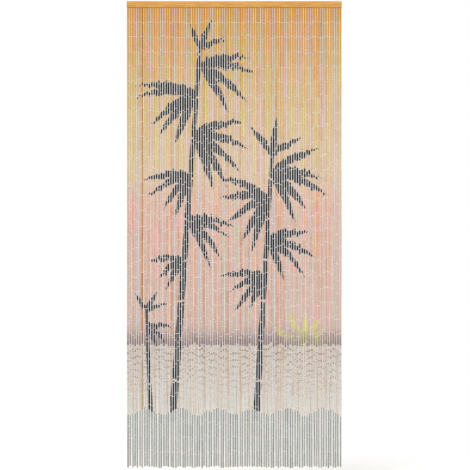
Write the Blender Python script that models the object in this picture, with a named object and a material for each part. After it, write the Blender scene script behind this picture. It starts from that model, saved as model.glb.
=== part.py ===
"""A bamboo door curtain: a flat wooden head rail with ninety strands of bamboo tubes hanging from it.

Metres, +Z up. The origin is the middle of the rail's back face, which lies against the wall or the
door frame. The front of the curtain faces -Y."""

import math

import bmesh
import bpy

# Head rail: a planed slat with its edges taken off, and a pocket in its underside for the hanging strip
RAIL_LENGTH = 0.910
RAIL_HEIGHT = 0.026
RAIL_DEPTH = 0.014
RAIL_EDGE = 0.001
RAIL_EDGE_STEPS = 2

# Hanging strip: the backing in the rail's pocket that every strand's root is part of
STRIP_DEPTH = 0.0054
STRIP_HEIGHT = 0.0035
STRIP_END = 0.0035
CLEARANCE = 0.0003

# Strands: tubes on wire, hooked end to end, so one strand is as wide as its tubes
STRANDS = 90
PITCH = 0.01011
TUBE_WIDTH = 0.0086
TUBES = 31
TUBE_PITCH = 0.0628
LINK_GAP = 0.0015
HOOK_WIDTH = 0.0024
HOOK_DEPTH = 0.0016
HOOK_DROP = 0.0008

# How the strands hang: each leans a little, wavers a little, and ends a little high or low
LEAN_X = 0.0005
LEAN_Y = 0.0012
WAVER = 0.0003
WAVER_LENGTH = 0.8
WAVER_TURN = 2.4
END_SPREAD = 0.005
SPANS = 5

# Shares that give neighbours unlike values: multiples of each fall evenly between 0 and 1
GOLDEN_SHARE = 0.6180340
PLASTIC_SHARE = 0.7548777
SILVER_SHARE = 0.4142136

# Heights that follow from the sizes above
STRAND_Y = -RAIL_DEPTH / 2
RAIL_BOTTOM = -RAIL_HEIGHT / 2
STRIP_BOTTOM = RAIL_BOTTOM + CLEARANCE
TUBES_TOP = RAIL_BOTTOM - HOOK_DROP
FULL_DROP = TUBES * TUBE_PITCH - LINK_GAP

# Finishes
HONEY_WOOD = (0.716, 0.381, 0.107)
VARNISH_ROUGHNESS = 0.45
PAINTED_BAMBOO = (0.642, 0.397, 0.242)
PAINT_ROUGHNESS = 0.55


def clear_scene():
    for obj in list(bpy.data.objects):
        bpy.data.objects.remove(obj, do_unlink=True)


def finish(name, color, roughness):
    """A plain material of one colour."""
    material = bpy.data.materials.new(name)
    material.use_nodes = True
    shader = material.node_tree.nodes["Principled BSDF"]
    shader.inputs["Base Color"].default_value = (*color, 1.0)
    shader.inputs["Roughness"].default_value = roughness
    shader.inputs["Metallic"].default_value = 0.0
    return material


def new_object(name, mesh):
    obj = bpy.data.objects.new(name, mesh)
    bpy.context.scene.collection.objects.link(obj)
    return obj


def box(name, size, centre):
    """A box mesh object with its size in its mesh, placed by its location."""
    mesh = bpy.data.meshes.new(name)
    shape = bmesh.new()
    bmesh.ops.create_cube(shape, size=1.0)
    bmesh.ops.scale(shape, vec=size, verts=shape.verts)
    shape.to_mesh(mesh)
    shape.free()
    obj = new_object(name, mesh)
    obj.location = centre
    return obj


def strand_x(strand):
    return (strand - (STRANDS - 1) / 2) * PITCH


def spread(strand, share):
    """A value from -1 to 1 for a strand, unlike its neighbours' values."""
    return 2 * ((strand + 1) * share % 1) - 1


def sway(strand, drop):
    """How far a strand is from hanging straight, at a drop below its top: a lean and a slow wave."""
    down = drop / FULL_DROP
    turn = 2 * math.pi * drop / WAVER_LENGTH + WAVER_TURN * strand
    side = LEAN_X * spread(strand, GOLDEN_SHARE) * down + WAVER * down * math.sin(turn)
    out = LEAN_Y * spread(strand, SILVER_SHARE) * down + WAVER * down * math.cos(turn)
    return side, out


def strand_drop(strand):
    """A strand's length: the full drop, a little more or less, in no regular order."""
    uneven = 2 * ((strand + 1) ** 2 * PLASTIC_SHARE % 1) - 1
    return FULL_DROP + END_SPREAD * uneven


def set_section(face, centre, width, depth):
    """Moves a strand's end face to a centre and a size, keeping its corners in order."""
    middle = face.calc_center_median()
    for vert in face.verts:
        side = math.copysign(width / 2, vert.co.x - middle.x)
        out = math.copysign(depth / 2, vert.co.y - middle.y)
        vert.co = (centre[0] + side, centre[1] + out, centre[2])


def extruded(shape, faces):
    """The faces that each of these becomes when it is drawn out, in the strands' order."""
    grown = bmesh.ops.extrude_discrete_faces(shape, faces=faces)["faces"]
    return sorted(grown, key=lambda face: face.calc_center_median().x)


def build_head_rail(material):
    rail = box("head_rail", (RAIL_LENGTH, RAIL_DEPTH, RAIL_HEIGHT), (0, STRAND_Y, 0))
    rail.data.materials.append(material)

    edges = rail.modifiers.new("planed_edges", "BEVEL")
    edges.width = RAIL_EDGE
    edges.segments = RAIL_EDGE_STEPS

    pocket_top = STRIP_BOTTOM + STRIP_HEIGHT + CLEARANCE
    pocket_floor = RAIL_BOTTOM - STRIP_HEIGHT
    pocket_size = (
        strip_length() + 2 * CLEARANCE,
        STRIP_DEPTH + 2 * CLEARANCE,
        pocket_top - pocket_floor,
    )
    cutter = box("pocket_cutter", pocket_size, (0, STRAND_Y, (pocket_top + pocket_floor) / 2))
    cutter.hide_render = True
    cutter.display_type = "WIRE"

    pocket = rail.modifiers.new("strip_pocket", "BOOLEAN")
    pocket.operation = "DIFFERENCE"
    pocket.object = cutter
    return rail


def strip_length():
    return 2 * (strand_x(STRANDS - 1) + STRIP_END)


def build_strands(material):
    """The hanging strip is a long box. Under each strand its lower face is inset to the hook's size,
    and that face is drawn down to the tubes' top and then through the strand's sections."""
    inset = (STRIP_DEPTH - HOOK_DEPTH) / 2
    root_width = HOOK_WIDTH + 2 * inset

    shape = bmesh.new()
    bmesh.ops.create_cube(shape, size=1.0)
    bmesh.ops.scale(shape, vec=(strip_length(), STRIP_DEPTH, STRIP_HEIGHT), verts=shape.verts)
    bmesh.ops.translate(
        shape, vec=(0, STRAND_Y, STRIP_BOTTOM + STRIP_HEIGHT / 2), verts=shape.verts
    )
    for strand in range(STRANDS):
        for edge in (-root_width / 2, root_width / 2):
            bmesh.ops.bisect_plane(
                shape,
                geom=shape.verts[:] + shape.edges[:] + shape.faces[:],
                plane_co=(strand_x(strand) + edge, 0, 0),
                plane_no=(1, 0, 0),
            )

    underside = [face for face in shape.faces if round(face.normal.z) == -1]
    underside.sort(key=lambda face: face.calc_center_median().x)
    roots = underside[1::2]  # every second face lies under a strand, and the rest between strands
    bmesh.ops.inset_individual(shape, faces=roots, thickness=inset)

    hooks = extruded(shape, roots)
    for strand, face in enumerate(hooks):
        set_section(face, (strand_x(strand), STRAND_Y, TUBES_TOP), HOOK_WIDTH, HOOK_DEPTH)

    ends = hooks
    for span in range(SPANS + 1):
        ends = extruded(shape, ends)
        for strand, face in enumerate(ends):
            drop = strand_drop(strand) * span / SPANS
            side, out = sway(strand, drop)
            centre = (strand_x(strand) + side, STRAND_Y + out, TUBES_TOP - drop)
            set_section(face, centre, TUBE_WIDTH, TUBE_WIDTH)

    mesh = bpy.data.meshes.new("strands")
    shape.to_mesh(mesh)
    shape.free()
    mesh.materials.append(material)
    return new_object("strands", mesh)


clear_scene()
build_head_rail(finish("honey_wood", HONEY_WOOD, VARNISH_ROUGHNESS))
build_strands(finish("painted_bamboo", PAINTED_BAMBOO, PAINT_ROUGHNESS))
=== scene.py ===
import math

import bpy
import numpy as np
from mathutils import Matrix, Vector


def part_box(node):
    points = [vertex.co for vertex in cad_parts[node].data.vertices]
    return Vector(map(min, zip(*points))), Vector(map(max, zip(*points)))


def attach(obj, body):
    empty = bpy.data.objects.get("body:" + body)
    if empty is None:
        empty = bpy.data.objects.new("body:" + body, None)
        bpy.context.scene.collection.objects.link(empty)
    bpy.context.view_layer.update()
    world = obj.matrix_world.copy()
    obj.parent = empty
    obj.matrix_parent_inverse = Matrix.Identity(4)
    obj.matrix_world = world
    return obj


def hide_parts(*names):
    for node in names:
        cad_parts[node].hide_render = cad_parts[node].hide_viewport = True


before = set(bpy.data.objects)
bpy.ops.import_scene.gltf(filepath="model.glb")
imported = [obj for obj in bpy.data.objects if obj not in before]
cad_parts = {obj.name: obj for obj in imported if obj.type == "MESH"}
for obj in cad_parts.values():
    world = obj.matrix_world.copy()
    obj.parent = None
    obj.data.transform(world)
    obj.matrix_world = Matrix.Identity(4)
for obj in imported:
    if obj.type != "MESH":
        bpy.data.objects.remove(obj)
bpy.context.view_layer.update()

# Camera: a long lens square on to the curtain, with the rail as far from the picture's top and sides as
# in the photograph. The rail's length gives the size of a pixel.
FRAME_PX = 470
RAIL_LEFT_PX = 126.7
RAIL_RIGHT_PX = 341.7
RAIL_TOP_PX = 1.1
CAMERA_DISTANCE = 7.0
SENSOR_MM = 36.0

rail_low, rail_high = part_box("head_rail")
pixel = (rail_high.x - rail_low.x) / (RAIL_RIGHT_PX - RAIL_LEFT_PX)

lens = bpy.data.cameras.new("camera")
lens.sensor_width = SENSOR_MM
lens.lens = SENSOR_MM * CAMERA_DISTANCE / (FRAME_PX * pixel)
camera = bpy.data.objects.new("camera", lens)
camera.location = (
    (FRAME_PX / 2 - (RAIL_LEFT_PX + RAIL_RIGHT_PX) / 2) * pixel,
    rail_low.y - CAMERA_DISTANCE,
    rail_high.z - (FRAME_PX / 2 - RAIL_TOP_PX) * pixel,
)
camera.rotation_euler = (math.radians(90), 0, 0)
bpy.context.scene.collection.objects.link(camera)
bpy.context.scene.camera = camera


# Head rail: one planed pine slat, honey coloured under a thin satin varnish. Its long edges are rounded
# and lightly worn, and the strands' staples are driven into a narrow groove along its underside.
RAIL_EDGE = 0.0011
RAIL_WEAR = 0.0003
RAIL_WEAR_WAVES = (23.0, 61.0)
RAIL_ARC_POINTS = 5
RAIL_STATIONS = 48
RAIL_END_STEPS = 4
RAIL_CRISP_FROM = math.radians(40)
GROOVE_HALF = 0.0017
GROOVE_DEPTH = 0.0025


def linear(code):
    """An sRGB hex code as linear RGBA: each channel c is c / 12.92 up to 0.04045, and
    ((c + 0.055) / 1.055) ** 2.4 above."""
    channels = [int(code[k : k + 2], 16) / 255 for k in (1, 3, 5)]
    return (
        *[c / 12.92 if c <= 0.04045 else ((c + 0.055) / 1.055) ** 2.4 for c in channels],
        1.0,
    )


def add(tree, kind, inputs=None, stops=None, **settings):
    """Adds a node with its properties, its inputs and its colour stops, which are (place, sRGB hex)
    pairs. An input is a value, a socket to link, or a node, which stands for its first output."""
    node = tree.nodes.new("ShaderNode" + kind)
    for name, value in settings.items():
        setattr(node, name, value)
    for key, value in (inputs or {}).items():
        if isinstance(value, bpy.types.Node):
            value = value.outputs[0]
        if isinstance(value, bpy.types.NodeSocket):
            tree.links.new(value, node.inputs[key])
        else:
            node.inputs[key].default_value = value
    if stops:
        while len(node.color_ramp.elements) < len(stops):
            node.color_ramp.elements.new(1.0)
        for element, (place, code) in zip(node.color_ramp.elements, stops):
            element.position = place
            element.color = linear(code)
    return node


def new_material(name):
    """A material, its node tree and its Principled shader."""
    material = bpy.data.materials.new(name)
    material.use_nodes = True
    return material, material.node_tree, material.node_tree.nodes["Principled BSDF"]


def new_piece(name, points, faces, material):
    """A smooth-shaded mesh object at the origin that rides on the curtain's one body."""
    mesh = bpy.data.meshes.new(name)
    mesh.from_pydata(points.reshape(-1, 3).tolist(), [], faces)
    mesh.materials.append(material)
    mesh.shade_smooth()
    piece = bpy.data.objects.new(name, mesh)
    bpy.context.scene.collection.objects.link(piece)
    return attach(piece, "root")


def ring_faces(count, rows, columns):
    """Faces of that many rods, each made of rows of closed rings: quads between neighbouring rings,
    and one face over each end."""
    here = np.arange(count * rows * columns).reshape(count, rows, columns)
    beside = np.roll(here, -1, axis=2)
    quads = np.stack([here[:, :-1], beside[:, :-1], beside[:, 1:], here[:, 1:]], axis=-1)
    return quads.reshape(-1, 4).tolist() + here[:, 0, ::-1].tolist() + here[:, -1].tolist()


def rail_points(low, high):
    """Rounded-rectangle sections carried along X. A section is the rectangle's corners drawn in by the
    edge radius, plus that radius times (cos a, sin a) over a quarter turn at each corner, with a
    square groove between its two lower corners. The radius wavers by two sines of x. At each end the
    section draws in by r (1 - cos b) as it closes by r sin b."""
    half, middle = (high - low) / 2, (high + low) / 2
    turn = np.linspace(0, math.pi / 2, RAIL_ARC_POINTS)
    angle = np.concatenate([turn + k * math.pi / 2 for k in range(4)])
    corner_y = np.repeat([1, -1, -1, 1], RAIL_ARC_POINTS)
    corner_z = np.repeat([1, 1, -1, -1], RAIL_ARC_POINTS)

    closing = np.linspace(math.pi / 2, 0, RAIL_END_STEPS, endpoint=False)
    straight = half.x - RAIL_EDGE
    reach = straight + RAIL_EDGE * np.sin(closing)
    between = np.linspace(-straight, straight, RAIL_STATIONS)
    x = middle.x + np.concatenate([-reach, between, reach[::-1]])
    drawn = RAIL_EDGE * (1 - np.cos(closing))
    drawn = np.concatenate([drawn, np.zeros(RAIL_STATIONS), drawn[::-1]])[:, None]

    waver = sum(np.sin(wave * x) for wave in RAIL_WEAR_WAVES) / len(RAIL_WEAR_WAVES)
    radius = RAIL_EDGE + RAIL_WEAR * waver[:, None]
    y = middle.y + corner_y * (half.y - drawn - radius) + radius * np.cos(angle)
    z = middle.z + corner_z * (half.z - drawn - radius) + radius * np.sin(angle)

    groove_y = middle.y + GROOVE_HALF * np.array([-1, -1, 1, 1]) + 0 * drawn
    groove_z = low.z + drawn + GROOVE_DEPTH * np.array([0, 1, 1, 0])
    before_last = 3 * RAIL_ARC_POINTS
    y = np.concatenate([y[:, :before_last], groove_y, y[:, before_last:]], axis=1)
    z = np.concatenate([z[:, :before_last], groove_z, z[:, before_last:]], axis=1)
    return np.stack([np.broadcast_to(x[:, None], y.shape), y, z], axis=-1)


# Varnished pine: planed along the grain, so pale early wood runs between darker late rings in long
# lines on the faces and in arcs on the end grain. It has short dark fibres and a satin shine, and
# painted shade darkens the last few mm at each end.
MM_PER_M = 1000.0
RING_MM = 2.6
RING_SCALE = 0.314  # the wave texture's scale for rings 1 unit apart
RING_CENTRE_MM = (0.0, 30.0, -46.0)
RING_STRETCH = 0.012  # the rings' rate of change along the grain, as a share of that across it
RING_WAVER = 6.0
RING_WAVER_SCALE = 0.25
RING_TONES = ((0.0, "#e8b45e"), (0.6, "#e3ab54"), (0.92, "#d49644"), (1.0, "#e4ae59"))
PINE_FIBRE_MM = (45.0, 0.4, 0.4)
PINE_FIBRE_TONES = ((0.32, "#d8bf9c"), (0.5, "#ffffff"))
PINE_FIBRE_SHARE = 0.75
PATCH_MM = (70.0, 6.0, 6.0)
PATCH_TONES = ((0.35, "#f2e4d0"), (0.5, "#faf6ef"), (0.65, "#ffffff"))
PATCH_SHARE = 1.0
# Painted shade: over the last few mm at each end the rail's colour is mixed towards this dark brown, as
# if its rounded ends turned from the light.
END_SHADE_MM = 5.0
PAINTED_END_SHADE = "#8f6f2f"
END_SHADE_SHARE = 0.6
VARNISH_IOR = 1.5
VARNISH_ROUGHNESS = (0.46, 0.34)
PORE_DEPTH = 0.0002
PORE_STRENGTH = 0.25

wood, tree, shader = new_material("varnished_pine")
place = add(tree, "TexCoord").outputs["Object"]
mm = add(tree, "VectorMath", {0: place, "Scale": MM_PER_M}, operation="SCALE")
trunk = add(
    tree, "Mapping", {"Vector": mm, "Location": RING_CENTRE_MM, "Scale": (RING_STRETCH, 1.0, 1.0)}
)
rings = add(
    tree,
    "TexWave",
    {"Vector": trunk, "Scale": RING_SCALE / RING_MM, "Distortion": RING_WAVER, "Detail": 3.0,
     "Detail Scale": RING_WAVER_SCALE, "Detail Roughness": 0.5},
    wave_type="RINGS",
    rings_direction="X",
    wave_profile="SAW",
)
ring_colour = add(tree, "ValToRGB", {"Fac": rings.outputs["Fac"]}, stops=RING_TONES)
fibre_place = add(
    tree, "Mapping", {"Vector": mm, "Scale": tuple(1 / size for size in PINE_FIBRE_MM)}
)
fibres = add(tree, "TexNoise", {"Vector": fibre_place, "Scale": 1.0, "Detail": 4.0})
fibre_colour = add(tree, "ValToRGB", {"Fac": fibres}, stops=PINE_FIBRE_TONES)
patch_place = add(tree, "Mapping", {"Vector": mm, "Scale": tuple(1 / size for size in PATCH_MM)})
patches = add(tree, "TexNoise", {"Vector": patch_place, "Scale": 1.0, "Detail": 1.0})
patch_colour = add(tree, "ValToRGB", {"Fac": patches}, stops=PATCH_TONES)
planed = ring_colour
for shade, share in ((fibre_colour, PINE_FIBRE_SHARE), (patch_colour, PATCH_SHARE)):
    planed = add(
        tree, "Mix", {0: share, 6: planed, 7: shade}, data_type="RGBA", blend_type="MULTIPLY"
    ).outputs[2]
half_mm = MM_PER_M * (rail_high.x - rail_low.x) / 2
along = add(tree, "SeparateXYZ", {0: mm}).outputs["X"]
along = add(tree, "Math", {0: along}, operation="ABSOLUTE")
# Painted shade darkens the rail towards each end.
near_end = add(
    tree,
    "MapRange",
    {"Value": along, "From Min": half_mm - END_SHADE_MM, "From Max": half_mm,
     "To Max": END_SHADE_SHARE},
)
planed = add(
    tree, "Mix", {0: near_end, 6: planed, 7: linear(PAINTED_END_SHADE)}, data_type="RGBA"
).outputs[2]
tree.links.new(planed, shader.inputs["Base Color"])
rough, smooth = VARNISH_ROUGHNESS
satin = add(tree, "MapRange", {"Value": fibres, "To Min": rough, "To Max": smooth})
tree.links.new(satin.outputs[0], shader.inputs["Roughness"])
pores = add(tree, "Bump", {"Height": fibres, "Strength": PORE_STRENGTH, "Distance": PORE_DEPTH})
tree.links.new(pores.outputs[0], shader.inputs["Normal"])
shader.inputs["IOR"].default_value = VARNISH_IOR

rail_rings = rail_points(rail_low, rail_high)
rail = new_piece("rail", rail_rings, ring_faces(1, *rail_rings.shape[:2]), wood)
rail.data.set_sharp_from_angle(angle=RAIL_CRISP_FROM)
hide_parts("head_rail")


# How the strands hang: each strand leans, wavers and ends a little off true, and its tubes are cut to
# slightly unlike lengths, so the rows of joints are straight under the rail and ragged lower down.
STRANDS = 90
TUBES = 31
STRAND_PITCH = 0.01011
TUBE_PITCH = 0.0628
LINK_GAP = 0.0015
HOOK_DROP = 0.0008
LEAN_X = 0.0005
LEAN_Y = 0.0012
WAVER = 0.0003
WAVER_LENGTH = 0.8
WAVER_TURN = 2.4
END_SPREAD = 0.005
GOLDEN_SHARE = 0.6180340  # multiples of this share, and of the next two, fall evenly between 0 and 1
PLASTIC_SHARE = 0.7548777
SILVER_SHARE = 0.4142136
CUT_SPREAD = 0.09
TOP_ROW_SHARE = 0.375
FULL_SPREAD_ROW = 5
JOINT_SPREAD = 0.00008
STAPLE_SPREAD = 0.00015
STRAND_SEED = 90

strand = np.arange(STRANDS)
rail_middle_y = (rail_low.y + rail_high.y) / 2
tubes_top = rail_low.z - HOOK_DROP
full_drop = TUBES * TUBE_PITCH - LINK_GAP
rng = np.random.default_rng(STRAND_SEED)
staple_shift = STAPLE_SPREAD * rng.uniform(-1, 1, STRANDS)


def spread(share):
    """A value from -1 to 1 for each strand, unlike its neighbours': 2 frac((n + 1) share) - 1."""
    return (2 * ((strand + 1) * share % 1) - 1)[:, None]


def strand_middle(drop):
    """Each strand's x and y at its drops: its place on the rail, plus a lean and a wave that both grow
    with the drop. The wave is sin a across and cos a out, where a is one turn for each wave length of
    drop, plus the strand's own start."""
    down = drop / full_drop
    turn = 2 * math.pi * drop / WAVER_LENGTH + WAVER_TURN * strand[:, None]
    hung_at = ((strand - (STRANDS - 1) / 2) * STRAND_PITCH + staple_shift)[:, None]
    x = hung_at + down * (LEAN_X * spread(GOLDEN_SHARE) + WAVER * np.sin(turn))
    y = rail_middle_y + down * (LEAN_Y * spread(SILVER_SHARE) + WAVER * np.cos(turn))
    return np.stack([x, y], axis=-1)


row_share = np.interp(np.arange(TUBES), [0, FULL_SPREAD_ROW], [TOP_ROW_SHARE, 1])
cut = 1 + CUT_SPREAD * row_share * rng.standard_normal((STRANDS, TUBES))
cut *= TUBES / cut.sum(axis=1, keepdims=True)
end_share = (2 * ((strand + 1) ** 2 * PLASTIC_SHARE % 1) - 1)[:, None]
strand_drop = full_drop + LINK_GAP + END_SPREAD * end_share
drops = np.concatenate([np.zeros((STRANDS, 1)), np.cumsum(cut, axis=1)], axis=1)
drops *= strand_drop / TUBES
joint_shift = JOINT_SPREAD * rng.standard_normal((STRANDS, TUBES + 1, 2))
joint_shift[:, 0] = 0  # the first tube hangs straight below its staple

wire_top = tubes_top - drops[:, :-1]
wire_bottom = tubes_top - drops[:, 1:] + LINK_GAP
middle_top = strand_middle(drops[:, :-1]) + joint_shift[:, :-1]
middle_bottom = strand_middle(drops[:, 1:] - LINK_GAP) + joint_shift[:, 1:]


# Tubes: thin bamboo sawn into short lengths, most of them clear of the cane's knuckles and some across
# one. Strands and tubes differ a little in tone, and one strand near the left edge is much darker.
TUBE_RADIUS = 0.0043
RADIUS_SPREAD = 0.025
RADIUS_LIMIT = 0.035
TAPER_SPREAD = 0.015
BORE_SHARE = 0.27
RIM = 0.00035
SAW_SLANT = 0.05
SLACK = 0.0002
PLAY = 0.0001
CROOK = 0.00007
KNUCKLE_SHARE = 0.22
KNUCKLE_RANGE = (0.25, 0.75)
KNUCKLE_SWELL = 0.07
KNUCKLE_HALF = 0.0016
SIDES = 10
ROWS = 9
LOW_END_ROWS = [0, 1, 2]
HIGH_END_ROWS = [6, 7, 8]
KNUCKLE_ROW = 4
SAWN_ROWS = [0, 1, 7, 8]
STRANDS_PER_PIECE = 6
MAP_COLUMNS = 24
MAP_ROWS = 8
MAP_MARGIN = 0.0015
BORE_ON_MAP = 0.004
DARK_STRAND = 6
DARK_STRAND_TONE = 3.2
TONE_LIMIT = 1.8
STRAND_TONE_SHARE = 0.6
TUBE_TONE_SHARE = 0.32
SLIP_MM = 4.0  # how far a tube's part of the picture sits high or low

each = (STRANDS, TUBES)
radius_noise = np.clip(RADIUS_SPREAD * rng.standard_normal(each), -RADIUS_LIMIT, RADIUS_LIMIT)
radius = TUBE_RADIUS * (1 + radius_noise)
taper = TAPER_SPREAD * rng.standard_normal(each)
slack = rng.uniform(0, SLACK, each)
play_turn = rng.uniform(0, 2 * math.pi, each)
play = PLAY * np.sqrt(rng.uniform(0, 1, each))
crook_turn = rng.uniform(0, 2 * math.pi, each)
crook = CROOK * rng.standard_normal(each)
knuckle_at = rng.uniform(*KNUCKLE_RANGE, each)
knuckle = (rng.uniform(0, 1, each) < KNUCKLE_SHARE).astype(float)
saw_turn = rng.uniform(0, 2 * math.pi, (2, *each))
saw_slant = rng.uniform(0, SAW_SLANT, (2, *each))
strand_tone = np.clip(rng.standard_normal((STRANDS, 1)), -TONE_LIMIT, TONE_LIMIT)
strand_tone[DARK_STRAND] += DARK_STRAND_TONE
tone = STRAND_TONE_SHARE * strand_tone + TUBE_TONE_SHARE * rng.standard_normal(each)
slip = SLIP_MM * rng.standard_normal(each)
side_turn = np.arange(SIDES) * 2 * math.pi / SIDES


def step_towards(angle, reach):
    """x and y of a reach in a direction: reach * (cos a, sin a)."""
    return reach[..., None] * np.stack([np.cos(angle), np.sin(angle)], axis=-1)


def tube_rings():
    """Every tube as rings of points, with the rings' distance along its wall. A ring of radius r at
    height h is its middle plus r (cos a, sin a). The rings are bore, rim, wall, below the knuckle, on
    it, above it, wall, rim, bore. The middle runs straight from the low hook to the high one, plus a
    crook of sin(pi h / length), and a sawn end's rings tilt by slant * r * cos(a - turn)."""
    length = wire_top - slack - wire_bottom
    middle_height = knuckle_at * length
    zero = 0 * length
    heights = [zero, zero, zero + RIM, middle_height - KNUCKLE_HALF, middle_height,
               middle_height + KNUCKLE_HALF, length - RIM, length, length]
    height = np.stack(heights, axis=-1)
    share = height / length[..., None]

    ring = radius[..., None] * (1 + taper[..., None] * (share - 0.5))
    ring[..., [0, -1]] *= BORE_SHARE
    ring[..., [1, -2]] -= RIM
    ring[..., KNUCKLE_ROW] *= 1 + KNUCKLE_SWELL * knuckle

    played = step_towards(play_turn, play)
    low, high = middle_bottom + played, middle_top + played
    middle = low[..., None, :] + (high - low)[..., None, :] * share[..., None]
    middle += np.sin(math.pi * share)[..., None] * step_towards(crook_turn, crook)[..., None, :]

    around = ring[..., None]
    x = middle[..., 0, None] + around * np.cos(side_turn)
    y = middle[..., 1, None] + around * np.sin(side_turn)
    z = np.repeat((wire_bottom[..., None] + height)[..., None], SIDES, axis=-1)
    for end, rows in enumerate((LOW_END_ROWS, HIGH_END_ROWS)):
        tilt = saw_slant[end][..., None, None] * np.cos(side_turn - saw_turn[end][..., None, None])
        z[..., rows, :] += around[..., rows, :] * tilt

    steps = np.hypot(np.diff(ring, axis=-1), np.diff(height, axis=-1))
    distance = np.concatenate([zero[..., None], np.cumsum(steps, axis=-1)], axis=-1)
    return np.stack([x, y, z], axis=-1), distance


def tube_faces(count):
    """Quads of that many tubes. Each tube's last row of points closes on its first, down the bore."""
    here = np.arange(count * ROWS * SIDES).reshape(count, ROWS, SIDES)
    beside, above = np.roll(here, -1, axis=2), np.roll(here, -1, axis=1)
    quads = np.stack([here, beside, np.roll(beside, -1, axis=1), above], axis=-1)
    return quads.reshape(-1, 4).tolist()


def tube_map(distance):
    """A flat place for each corner of tube_faces: a tube is unrolled into its own cell of a grid, its
    sides across and its rows up by their distance along the wall, with the bore squeezed on top."""
    cell = np.arange(len(distance))
    left = (cell % MAP_COLUMNS) / MAP_COLUMNS + MAP_MARGIN
    bottom = (cell // MAP_COLUMNS) / MAP_ROWS + MAP_MARGIN
    whole = distance[:, -1:] + BORE_ON_MAP
    rows = np.concatenate([distance, whole], axis=1) / whole * (1 / MAP_ROWS - 2 * MAP_MARGIN)
    sides = np.arange(SIDES + 1) / SIDES * (1 / MAP_COLUMNS - 2 * MAP_MARGIN)
    across = left[:, None, None] + sides[None, None, :] + 0 * rows[:, :, None]
    up = bottom[:, None, None] + rows[:, :, None] + 0 * across
    grid = np.stack([across, up], axis=-1)
    corners = [grid[:, :-1, :-1], grid[:, :-1, 1:], grid[:, 1:, 1:], grid[:, 1:, :-1]]
    return np.stack(corners, axis=3)


def give(mesh, name, kind, domain, values):
    """A value for each of the mesh's points or edges, which is read by name."""
    mesh.attributes.new(name, kind, domain).data.foreach_set("value", values.ravel())


def rim_edges(mesh):
    """Which edges are kept crisp: those with both ends on one ring of a sawn end."""
    ends = np.empty(len(mesh.edges) * 2, np.int32)
    mesh.edges.foreach_get("vertices", ends)
    row = (ends.reshape(-1, 2) // SIDES) % ROWS
    return (row[:, 0] == row[:, 1]) & np.isin(row[:, 0], LOW_END_ROWS + HIGH_END_ROWS)


# Painted bamboo: thin matt paint on the hanging tubes, which shades from amber to rose and leaves their
# sawn ends and backs bare, with painted shade greying it at their sides. The picture is stencilled over
# it, with only a mist on the sides: a bamboo grove over a shore, a band of lozenges and a toothed grey
# hem.
CURTAIN_MM = 1960.0
GROUND = (
    # mm below the rail's middle, colour: amber, straw, cream, apricot, rose, dusk, sand, pale sand
    (0, "#d8a038"), (340, "#dec28a"), (690, "#e8d2b2"), (860, "#ecc8b6"), (1330, "#e2c6ba"),
    (1443, "#cebab4"), (1446, "#dad2ca"), (1740, "#e4e4de"),
)
SAND_TOP_MM = -1444.0
HEM_GREY = "#7c8382"
HEM_MIST = "#edefed"
# Painted shade: the ground is multiplied by this blue grey where a tube's wall turns from the front, as
# if light fell off round its sides, and more strongly lower down the curtain.
PAINTED_SIDE_SHADE = "#b4c0d0"
PAINTED_SIDE_SHADE_REACH = (1.05, 0.7)
PAINTED_SIDE_SHADE_DROP = (0.25, 0.5)  # parts of the curtain's height, with the share at each in the next line
PAINTED_SIDE_SHADE_SHARE = (0.1, 0.45)
INK_MIST = "#c0c2c6"
MIST = 0.7
SHORE = "#73636c"
SHORE_TOP_MM = -1355.0
SHORE_SHARE = 0.75
HEM_TOP_MM = -1742.0
HEM_TOOTH_MM = 75.0
HEM_SLOPE = 0.45
INK = "#1b2127"
ACCENT = "#dccf8e"
LOZENGE = "#9a8276"
LOZENGE_STEP_MM = (46.0, 14.5)
LOZENGE_HALF_MM = (34.0, 4.4)
LOZENGE_END_MM = -1710.0
EDGE_GRAIN_MM = 7.0
EDGE_GRAIN = 0.2
SOFT_EDGE = 0.04
BARE = "#dcc391"
SAWN = "#e2cfa3"
KNUCKLE = "#96703f"
KNUCKLE_EDGE = (0.45, 0.95)
KNUCKLE_STAIN_SHARE = 0.6
TONE_RANGE = (-2.0, 3.0)
TONES = ((0.0, "#f4f4f6"), (0.35, "#fffaf4"), (0.7, "#f5decb"), (1.0, "#d0b48e"))
BAMBOO_FIBRE_WIDTH_MM = 0.9  # real fibres are 0.2 mm apart, too fine to show
BAMBOO_FIBRE_LENGTH_MM = 16.0
BAMBOO_FIBRE_TONES = ((0.3, "#dccfbd"), (0.6, "#ffffff"))
BAMBOO_FIBRE_SHARE = 0.6
GROUND_REACH = -0.35
INK_REACH = 0.6
HEM_REACH = 0.72
PAINT_EDGE = 0.2
COAT_TONES = (-2.0, 2.0)  # the hem's coat is whole on the palest tubes and thin on the darkest
THIN_COAT = 0.55
BARE_ROUGHNESS = 0.45
PAINT_ROUGHNESS = 0.7
PAINT_SPECULAR = 0.15
RELIEF_DEPTH = 0.0003
RELIEF_STRENGTH = 0.35

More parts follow.
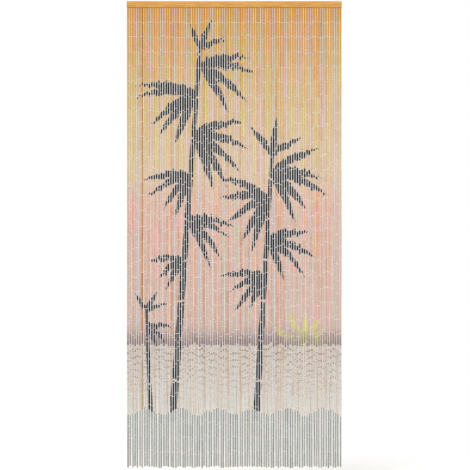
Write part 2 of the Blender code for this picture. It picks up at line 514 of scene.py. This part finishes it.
# Canes run from foot to tip, and sprays are fans of leaves from one place on a cane. Lengths and places
# are in mm from the rail's middle, headings in degrees up from the right.
CANES = (
    # foot x, foot z, tip x, tip z, half width
    (-262, -1770, -145, -190, 17.0),
    (92, -1770, 160, -640, 15.0),
    (-352, -1770, -372, -1300, 11.0),
)
CANE_TAPER = 0.45
KNUCKLE_STEP_MM = 172.0
KNUCKLE_LINE_MM = 3.5
SPRAYS = (
    # x, z, heading, fan, leaves, length, half width
    (-145, -190, 70, 70, 3, 130, 14),
    (-150, -255, -14, 78, 4, 235, 20),
    (-159, -375, 200, 84, 5, 240, 20),
    (-172, -545, -22, 84, 5, 255, 20),
    (-185, -720, 206, 74, 4, 205, 17),
    (-199, -905, -26, 70, 4, 215, 17),
    (-212, -1080, 204, 60, 3, 150, 15),
    (160, -640, 84, 80, 3, 150, 15),
    (156, -710, -12, 90, 5, 235, 20),
    (149, -820, 198, 90, 5, 225, 20),
    (139, -985, -24, 76, 4, 210, 18),
    (129, -1150, 205, 66, 4, 185, 16),
    (-372, -1300, 74, 80, 3, 110, 12),
    (-370, -1360, -24, 56, 3, 115, 12),
)
ACCENT_SPRAY = (296, -1450, 90, 164, 9, 150, 17)
LEAF_SPREAD = 0.12
HEADING_SPREAD = 5.0
LEAF_DROOP = 0.25
LEAF_RISE = 0.6
LEAF_FULLNESS = 2.88  # makes rise and fall, u ** 0.6 * (1 - u), reach 1 where the leaf is widest
LEAF_SEED = 31

bamboo, tree, shader = new_material("painted_bamboo")
place = add(tree, "TexCoord").outputs["Object"]
mm = add(tree, "VectorMath", {0: place, "Scale": MM_PER_M}, operation="SCALE")
slipped = add(tree, "CombineXYZ", {"Z": add(tree, "Attribute", attribute_name="slip").outputs["Fac"]})
painted = add(tree, "VectorMath", {0: mm, 1: slipped}, operation="ADD")
axes = add(tree, "SeparateXYZ", {0: painted})
across, height = axes.outputs["X"], axes.outputs["Z"]
grain = add(tree, "TexNoise", {"Vector": painted, "Scale": 1 / EDGE_GRAIN_MM, "Detail": 1.0})
wander = add(
    tree, "MapRange", {"Value": grain, "To Min": -EDGE_GRAIN / 2, "To Max": EDGE_GRAIN / 2}
)
leaf_rng = np.random.default_rng(LEAF_SEED)


def leaf_margin(x, z, heading, length, half_width):
    """How far a point of the curtain is inside a leaf: u ** 0.6 * (1 - u) - |v + droop * u ** 2|, with
    u along the leaf in lengths and v across it in its fullest half widths. It is over 0 inside."""
    turn = math.radians(heading)
    spot = add(
        tree,
        "Mapping",
        {"Vector": painted, "Location": (x, 0, z), "Rotation": (0, -turn, 0),
         "Scale": (length, 1, LEAF_FULLNESS * half_width)},
        vector_type="TEXTURE",
    )
    spot = add(tree, "SeparateXYZ", {0: spot})
    u, v = spot.outputs["X"], spot.outputs["Z"]
    droop = LEAF_DROOP * math.cos(turn) * length / (LEAF_FULLNESS * half_width)
    square = add(tree, "Math", {0: u, 1: u}, operation="MULTIPLY")
    bent = add(tree, "Math", {0: square, 1: droop, 2: v}, operation="MULTIPLY_ADD")
    away = add(tree, "Math", {0: bent}, operation="ABSOLUTE")
    rise = add(tree, "Math", {0: u, 1: LEAF_RISE}, operation="POWER")
    fall = add(tree, "Math", {0: 1.0, 1: u}, operation="SUBTRACT")
    full = add(tree, "Math", {0: rise, 1: fall}, operation="MULTIPLY")
    return add(tree, "Math", {0: full, 1: away}, operation="SUBTRACT")


def spray_margin(x, z, heading, fan, leaves, length, half_width, widest=-1.0):
    """The largest leaf_margin of a fan of leaves, their headings spread over the fan and a little
    uneven, and their lengths uneven too. The widest margin of other leaves may be passed in."""
    turns = heading + np.linspace(-fan / 2, fan / 2, leaves)
    turns += HEADING_SPREAD * leaf_rng.standard_normal(leaves)
    lengths = length * (1 + LEAF_SPREAD * leaf_rng.uniform(-1, 1, leaves))
    for turn, leaf_length in zip(turns.tolist(), lengths.tolist()):
        margin = leaf_margin(x, z, turn, leaf_length, half_width)
        widest = add(tree, "Math", {0: margin, 1: widest}, operation="MAXIMUM")
    return widest


def cane_margin(foot_x, foot_z, tip_x, tip_z, half_width):
    """How far a point is inside a cane: 1 - taper * u - |v|, cut to a line at each knuckle and at both
    ends, with u along the cane in lengths and v across it in half widths. It is over 0 inside."""
    length = math.hypot(tip_x - foot_x, tip_z - foot_z)
    turn = math.atan2(tip_z - foot_z, tip_x - foot_x)
    spot = add(
        tree,
        "Mapping",
        {"Vector": painted, "Location": (foot_x, 0, foot_z), "Rotation": (0, -turn, 0),
         "Scale": (1, 1, half_width)},
        vector_type="TEXTURE",
    )
    spot = add(tree, "SeparateXYZ", {0: spot})
    u, v = spot.outputs["X"], spot.outputs["Z"]
    away = add(tree, "Math", {0: v}, operation="ABSOLUTE")
    taper = add(tree, "Math", {0: u, 1: -CANE_TAPER / length, 2: 1.0}, operation="MULTIPLY_ADD")
    wide = add(tree, "Math", {0: taper, 1: away}, operation="SUBTRACT")
    line = add(tree, "Math", {0: u, 1: KNUCKLE_STEP_MM / 2}, operation="PINGPONG")
    line = add(
        tree,
        "Math",
        {0: line, 1: 1 / half_width, 2: -KNUCKLE_LINE_MM / half_width},
        operation="MULTIPLY_ADD",
    )
    cut_wide = add(tree, "Math", {0: wide, 1: line}, operation="MINIMUM")
    left = add(tree, "Math", {0: length, 1: u}, operation="SUBTRACT")
    ends = add(tree, "Math", {0: u, 1: left}, operation="MINIMUM")
    return add(tree, "Math", {0: cut_wide, 1: ends}, operation="MINIMUM")


def cover(margin):
    """Paint's cover from 0 to 1 across a soft edge, whose line wanders with the grain."""
    rough = add(tree, "Math", {0: margin, 1: wander}, operation="ADD")
    return add(
        tree,
        "MapRange",
        {"Value": rough, "From Min": SOFT_EDGE / 2, "From Max": SOFT_EDGE * 1.5},
        interpolation_type="SMOOTHSTEP",
    )


inked = -1.0
for spray in SPRAYS:
    inked = spray_margin(*spray, inked)
for cane in CANES:
    inked = add(tree, "Math", {0: inked, 1: cane_margin(*cane)}, operation="MAXIMUM")
ink_cover = cover(inked)

accent = spray_margin(*ACCENT_SPRAY)
above_sand = add(tree, "Math", {0: height, 1: SAND_TOP_MM}, operation="GREATER_THAN")
accent_cover = add(tree, "Math", {0: cover(accent), 1: above_sand}, operation="MULTIPLY")

step_x, step_z = LOZENGE_STEP_MM
half_x, half_z = LOZENGE_HALF_MM
beside = add(tree, "Math", {0: across, 1: step_x}, operation="PINGPONG")
below = add(tree, "Math", {0: height, 1: step_z}, operation="PINGPONG")
near = add(tree, "Math", {0: beside, 1: 1 / half_x}, operation="MULTIPLY")
near = add(tree, "Math", {0: below, 1: 1 / half_z, 2: near}, operation="MULTIPLY_ADD")
between = step_x / half_x + step_z / half_z
far = add(tree, "Math", {0: between, 1: near}, operation="SUBTRACT")
lozenge = add(tree, "Math", {0: near, 1: far}, operation="MINIMUM")
lozenge = add(tree, "Math", {0: 1.0, 1: lozenge}, operation="SUBTRACT")
fading = add(
    tree, "MapRange", {"Value": height, "From Min": LOZENGE_END_MM, "From Max": SAND_TOP_MM}
)
below_top = add(tree, "Math", {0: height, 1: SAND_TOP_MM - step_z}, operation="LESS_THAN")
lozenge_cover = add(tree, "Math", {0: cover(lozenge), 1: fading}, operation="MULTIPLY")
lozenge_cover = add(tree, "Math", {0: lozenge_cover, 1: below_top}, operation="MULTIPLY")

tooth = add(tree, "Math", {0: across, 1: HEM_TOOTH_MM}, operation="PINGPONG")
hem_line = add(tree, "Math", {0: tooth, 1: HEM_SLOPE, 2: HEM_TOP_MM}, operation="MULTIPLY_ADD")
hem_cover = add(tree, "Math", {0: height, 1: hem_line}, operation="LESS_THAN")

drop = add(tree, "Math", {0: height, 1: -1 / CURTAIN_MM}, operation="MULTIPLY")
ground = add(
    tree, "ValToRGB", {"Fac": drop}, stops=[(mm_down / CURTAIN_MM, code) for mm_down, code in GROUND]
)

tone_value, knuckle_value, sawn_value, front_value = [
    add(tree, "Attribute", attribute_name=name).outputs["Fac"]
    for name in ("tone", "knuckle", "sawn", "front")
]
fibre_scale = (1 / BAMBOO_FIBRE_WIDTH_MM, 1 / BAMBOO_FIBRE_WIDTH_MM, 1 / BAMBOO_FIBRE_LENGTH_MM)
fibre_place = add(tree, "Mapping", {"Vector": mm, "Location": tone_value, "Scale": fibre_scale})
fibres = add(tree, "TexNoise", {"Vector": fibre_place, "Scale": 1.0, "Detail": 3.0})
fibre_colour = add(tree, "ValToRGB", {"Fac": fibres}, stops=BAMBOO_FIBRE_TONES)
palest, darkest = TONE_RANGE
tone_share = add(tree, "MapRange", {"Value": tone_value, "From Min": palest, "From Max": darkest})
tone_colour = add(tree, "ValToRGB", {"Fac": tone_share}, stops=TONES)

stain_from, stain_full = KNUCKLE_EDGE
knuckle_stain = add(
    tree,
    "MapRange",
    {"Value": knuckle_value, "From Min": stain_from, "From Max": stain_full,
     "To Max": KNUCKLE_STAIN_SHARE},
)
finish = linear(BARE)
for share, code in ((sawn_value, SAWN), (knuckle_stain, KNUCKLE)):
    finish = add(
        tree, "Mix", {0: share, 6: finish, 7: linear(code)}, data_type="RGBA"
    ).outputs[2]

on_wall = add(tree, "Math", {0: 1.0, 1: sawn_value}, operation="SUBTRACT")
ragged = add(tree, "Math", {0: fibres, 1: PAINT_EDGE, 2: front_value}, operation="MULTIPLY_ADD")


def reach_cover(reach):
    """Paint's cover from 0 to 1 round a tube's side: full where the wall faces the front by more than
    the reach, which is the cosine of the angle, along a line made ragged by the fibres."""
    on_front = add(
        tree,
        "MapRange",
        {"Value": ragged, "From Min": reach, "From Max": reach + PAINT_EDGE},
        interpolation_type="SMOOTHSTEP",
    )
    return add(tree, "Math", {0: on_front, 1: on_wall}, operation="MULTIPLY")


ground_cover = reach_cover(GROUND_REACH)
whole_at, thin_at = COAT_TONES
coat = add(
    tree,
    "MapRange",
    {"Value": tone_value, "From Min": whole_at, "From Max": thin_at, "To Min": 1.0,
     "To Max": THIN_COAT},
)
ink_front = reach_cover(INK_REACH)
hem_front = add(tree, "Math", {0: reach_cover(HEM_REACH), 1: coat}, operation="MULTIPLY")
mist = add(tree, "Math", {0: ground_cover, 1: MIST}, operation="MULTIPLY")
shore = add(
    tree,
    "MapRange",
    {"Value": height, "From Min": SHORE_TOP_MM, "From Max": SAND_TOP_MM, "To Max": SHORE_SHARE},
    interpolation_type="SMOOTHSTEP",
)
shore = add(tree, "Math", {0: shore, 1: above_sand}, operation="MULTIPLY")
# Painted shade on the tubes' sides, its share growing down the curtain.
share_top, share_low = PAINTED_SIDE_SHADE_SHARE
drop_top, drop_low = PAINTED_SIDE_SHADE_DROP
share = add(
    tree,
    "MapRange",
    {"Value": drop, "From Min": drop_top, "From Max": drop_low, "To Min": share_top,
     "To Max": share_low},
)
shade_from, shade_to = PAINTED_SIDE_SHADE_REACH
shade = add(
    tree,
    "MapRange",
    {"Value": ragged, "From Min": shade_from, "From Max": shade_to, "To Max": share},
)
ground = add(
    tree,
    "Mix",
    {0: shade, 6: ground, 7: linear(PAINTED_SIDE_SHADE)},
    data_type="RGBA",
    blend_type="MULTIPLY",
).outputs[2]
finish = add(tree, "Mix", {0: ground_cover, 6: finish, 7: ground}, data_type="RGBA").outputs[2]
finish = add(
    tree, "Mix", {0: 1.0, 6: finish, 7: tone_colour}, data_type="RGBA", blend_type="MULTIPLY"
).outputs[2]
for layer, front_cover, code in (
    (accent_cover, ink_front, ACCENT),
    (lozenge_cover, ink_front, LOZENGE),
    (shore, ink_front, SHORE),
    (ink_cover, mist, INK_MIST),
    (ink_cover, ink_front, INK),
    (hem_cover, mist, HEM_MIST),
    (hem_cover, hem_front, HEM_GREY),
):
    layer = add(tree, "Math", {0: layer, 1: front_cover}, operation="MULTIPLY")
    finish = add(
        tree, "Mix", {0: layer, 6: finish, 7: linear(code)}, data_type="RGBA"
    ).outputs[2]
finish = add(
    tree,
    "Mix",
    {0: BAMBOO_FIBRE_SHARE, 6: finish, 7: fibre_colour},
    data_type="RGBA",
    blend_type="MULTIPLY",
).outputs[2]
tree.links.new(finish, shader.inputs["Base Color"])
matt = add(
    tree,
    "MapRange",
    {"Value": ground_cover, "To Min": BARE_ROUGHNESS, "To Max": PAINT_ROUGHNESS},
)
tree.links.new(matt.outputs[0], shader.inputs["Roughness"])
relief = add(
    tree, "Bump", {"Height": fibres, "Strength": RELIEF_STRENGTH, "Distance": RELIEF_DEPTH}
)
tree.links.new(relief.outputs[0], shader.inputs["Normal"])
shader.inputs["Specular IOR Level"].default_value = PAINT_SPECULAR

tubes, wall_distance = tube_rings()
front = np.broadcast_to(-np.sin(side_turn), (*each, ROWS, SIDES))
row_number = np.arange(ROWS)[:, None]
sawn = np.broadcast_to(np.isin(row_number, SAWN_ROWS), front.shape)
on_knuckle = knuckle[..., None, None] * (row_number == KNUCKLE_ROW) + 0 * front
for number, first in enumerate(range(0, STRANDS, STRANDS_PER_PIECE), start=1):
    some = slice(first, first + STRANDS_PER_PIECE)
    count = STRANDS_PER_PIECE * TUBES
    piece = new_piece(f"tubes_{number:02d}", tubes[some], tube_faces(count), bamboo)
    mesh = piece.data
    for name, values in (
        ("tone", tone[..., None, None] + 0 * front), ("slip", slip[..., None, None] + 0 * front),
        ("front", front), ("sawn", sawn), ("knuckle", on_knuckle),
    ):
        give(mesh, name, "FLOAT", "POINT", values[some].astype(np.float32))
    give(mesh, "sharp_edge", "BOOLEAN", "EDGE", rim_edges(mesh))
    places = tube_map(wall_distance[some].reshape(count, ROWS))
    mesh.uv_layers.new(name="OFBake").uv.foreach_set("vector", places.ravel())
    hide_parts("strands")


# Wire eyes: in every tube a length of zinc-coated steel wire, a dull pale grey in brighter and duller
# patches, with an eye bent round at each end and hooked into its neighbour's. An eye sinks into the
# bore's mouth and is too wide to go further, so a tube sits on its lower eye.
WIRE_RADIUS = 0.00035
EYE_RADIUS = 0.000825
EYE_SWEEP = math.radians(300)
EYE_SINK = 0.0009
EYE_POINTS = 7
STEM = 0.0025
TWIST_SPREAD = math.radians(15)
WIRE_SIDES = 4
STRANDS_PER_WIRE_PIECE = 30
ZINC_PATCH_MM = 10 / 9
ZINC_TONES = ((0.3, "#9b9ea1"), (0.7, "#bfc1c3"))
ZINC_ROUGHNESS = (0.28, 0.48)


def bent_wire(path, normal, radius, sides):
    """Round wire bent in a plane: about each point of its path, radius * (cos a * normal + sin a *
    across), where across is the path's direction crossed with the plane's normal, and is longer by
    1 / cos(half the turn) at a bend to keep the wire's gauge."""
    step = np.diff(path, axis=-2)
    step /= np.linalg.norm(step, axis=-1, keepdims=True)
    before = np.concatenate([step[..., :1, :], step], axis=-2)
    after = np.concatenate([step, step[..., -1:, :]], axis=-2)
    along = (before + after) / 2
    along /= (along**2).sum(axis=-1, keepdims=True)
    normal = np.broadcast_to(normal[..., None, :], path.shape)
    across = np.cross(along, normal)
    angle = np.arange(sides)[:, None] * 2 * math.pi / sides
    ring = np.cos(angle) * normal[..., None, :] + np.sin(angle) * across[..., None, :]
    return path[..., None, :] + radius * ring


def eye_path(end, up, turn):
    """The stem from inside the bore and the eye past the tube's end, in the upright plane that faces
    the turn: side = r cos a, height = up * (wire + r + r sin a - sink), with a from -90 degrees."""
    angle = -math.pi / 2 + np.linspace(0, EYE_SWEEP, EYE_POINTS)
    side = np.concatenate([[0], EYE_RADIUS * np.cos(angle)])
    rise = np.concatenate([[-STEM], WIRE_RADIUS + EYE_RADIUS * (1 + np.sin(angle))]) - EYE_SINK
    x = end[..., 0, None] + side * np.cos(turn)[..., None]
    y = end[..., 1, None] + side * np.sin(turn)[..., None]
    z = end[..., 2, None] + up * rise
    return np.stack([x, y, z], axis=-1)


def plane_normal(turn):
    """The level direction square to an upright plane that faces the turn: (-sin, cos, 0)."""
    return np.stack([-np.sin(turn), np.cos(turn), 0 * turn], axis=-1)


steel, tree, shader = new_material("zinc_coated_wire")
place = add(tree, "TexCoord").outputs["Object"]
bloom = add(
    tree, "TexNoise", {"Vector": place, "Scale": MM_PER_M / ZINC_PATCH_MM, "Detail": 2.0}
)
zinc = add(tree, "ValToRGB", {"Fac": bloom}, stops=ZINC_TONES)
tree.links.new(zinc.outputs[0], shader.inputs["Base Color"])
smooth, rough = ZINC_ROUGHNESS
dull = add(tree, "MapRange", {"Value": bloom, "To Min": smooth, "To Max": rough})
tree.links.new(dull.outputs[0], shader.inputs["Roughness"])
shader.inputs["Metallic"].default_value = 1.0

low_end = np.concatenate([middle_bottom, wire_bottom[..., None]], axis=-1)
high_end = np.concatenate([middle_top, wire_top[..., None]], axis=-1)
low_turn = TWIST_SPREAD * rng.uniform(-1, 1, each)
high_turn = math.pi / 2 + TWIST_SPREAD * rng.uniform(-1, 1, each)
low_eyes = bent_wire(eye_path(low_end, -1, low_turn), plane_normal(low_turn), WIRE_RADIUS, WIRE_SIDES)
high_eyes = bent_wire(
    eye_path(high_end, 1, high_turn), plane_normal(high_turn), WIRE_RADIUS, WIRE_SIDES
)
wire_shape = (EYE_POINTS + 1, WIRE_SIDES)
for number, first in enumerate(range(0, STRANDS, STRANDS_PER_WIRE_PIECE), start=1):
    some = slice(first, first + STRANDS_PER_WIRE_PIECE)
    eyes = np.concatenate(
        [low_eyes[some].reshape(-1, *wire_shape, 3), high_eyes[some].reshape(-1, *wire_shape, 3)]
    )
    piece = new_piece(f"wire_eyes_{number}", eyes, ring_faces(len(eyes), *wire_shape), steel)
    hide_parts("strands")


# Staples: a wire staple over each strand, its two legs driven into the roof of the rail's groove. The
# eye of the strand's first wire hangs from it, square to it.
STAPLE_RADIUS = 0.0004
STAPLE_HALF = 0.0013
STAPLE_LEG = 0.003
STAPLE_POINTS = 8
STAPLE_SIDES = 5

hung = high_end[:, 0]
eye_middle = tubes_top - EYE_SINK + WIRE_RADIUS + EYE_RADIUS
staple_low = eye_middle + EYE_RADIUS - WIRE_RADIUS - STAPLE_RADIUS
arch = np.linspace(0, math.pi, STAPLE_POINTS)
staple_side = np.concatenate([[STAPLE_HALF], STAPLE_HALF * np.cos(arch), [-STAPLE_HALF]])
staple_rise = STAPLE_HALF * np.concatenate([[1], 1 - np.sin(arch), [1]])
staple_z = staple_low + staple_rise
staple_z[[0, -1]] = rail_low.z + GROOVE_DEPTH + STAPLE_LEG
staple_path = np.stack(
    [hung[:, 0, None] + staple_side, hung[:, 1, None] + 0 * staple_side,
     staple_z + 0 * hung[:, 0, None]],
    axis=-1,
)
front_normal = np.broadcast_to([0.0, 1.0, 0.0], hung.shape)
staple_rings = bent_wire(staple_path, front_normal, STAPLE_RADIUS, STAPLE_SIDES)
staple_faces = ring_faces(STRANDS, len(staple_side), STAPLE_SIDES)
staples = new_piece("staples", staple_rings, staple_faces, steel)
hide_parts("strands")


# Floor: a pale matt disc a little below the strands' ends, which fades out before its edge.
FLOOR_Z = -2.05
FLOOR_RADIUS = 1.5
FLOOR_FADES_FROM = 0.45
FLOOR_INNER = 0.02
FLOOR_RINGS = 12
FLOOR_SIDES = 64
FLOOR_WHITE = "#fbfaf8"
FLOOR_ROUGHNESS = 0.9

floor_material, tree, shader = new_material("pale_floor")
shader.inputs["Base Color"].default_value = linear(FLOOR_WHITE)
shader.inputs["Roughness"].default_value = FLOOR_ROUGHNESS
place = add(tree, "TexCoord").outputs["Object"]
level = add(tree, "Mapping", {"Vector": place, "Scale": (1, 1, 0)})
away = add(tree, "VectorMath", {0: level}, operation="LENGTH").outputs["Value"]
fade = add(
    tree,
    "MapRange",
    {"Value": away, "From Min": FLOOR_FADES_FROM * FLOOR_RADIUS, "From Max": FLOOR_RADIUS,
     "To Min": 1.0, "To Max": 0.0},
    interpolation_type="SMOOTHSTEP",
)
tree.links.new(fade.outputs[0], shader.inputs["Alpha"])

reach = np.linspace(FLOOR_RADIUS, FLOOR_INNER, FLOOR_RINGS)[:, None]
round_turn = np.arange(FLOOR_SIDES) * 2 * math.pi / FLOOR_SIDES
floor_points = np.stack(
    [reach * np.cos(round_turn), reach * np.sin(round_turn), FLOOR_Z + 0 * reach * round_turn], -1
)
floor_mesh = bpy.data.meshes.new("floor")
floor_faces = ring_faces(1, FLOOR_RINGS, FLOOR_SIDES)
del floor_faces[-2]  # the outer edge stays open
floor_mesh.from_pydata(floor_points.reshape(-1, 3).tolist(), [], floor_faces)
floor_mesh.materials.append(floor_material)
floor = bpy.data.objects.new("floor", floor_mesh)
bpy.context.scene.collection.objects.link(floor)


# Light: a white studio all round, with broad soft lamps from the front left, the front right and behind.
WORLD_LIGHT = 0.72
LAMPS = (
    # name, tilt from straight down, turn from the front, strength, width, with angles in degrees
    ("key", 50, -35, 1.25, 40),
    ("fill", 62, 50, 0.45, 60),
    ("back", 55, 165, 0.9, 50),
)

world = bpy.data.worlds.new("studio")
world.use_nodes = True
bpy.context.scene.world = world
tree = world.node_tree
seen = add(tree, "LightPath").outputs["Is Camera Ray"]
strength = add(tree, "MapRange", {"Value": seen, "To Min": WORLD_LIGHT, "To Max": 1.0})
background = tree.nodes["Background"]
background.inputs["Color"].default_value = (1, 1, 1, 1)
tree.links.new(strength.outputs[0], background.inputs["Strength"])
for name, tilt, turn_from_front, power, width in LAMPS:
    lamp = bpy.data.lights.new(name, "SUN")
    lamp.energy = power
    lamp.angle = math.radians(width)
    light = bpy.data.objects.new(name, lamp)
    light.rotation_euler = (math.radians(tilt), 0, math.radians(turn_from_front))
    bpy.context.scene.collection.objects.link(light)
bpy.context.scene.view_settings.view_transform = "Standard"
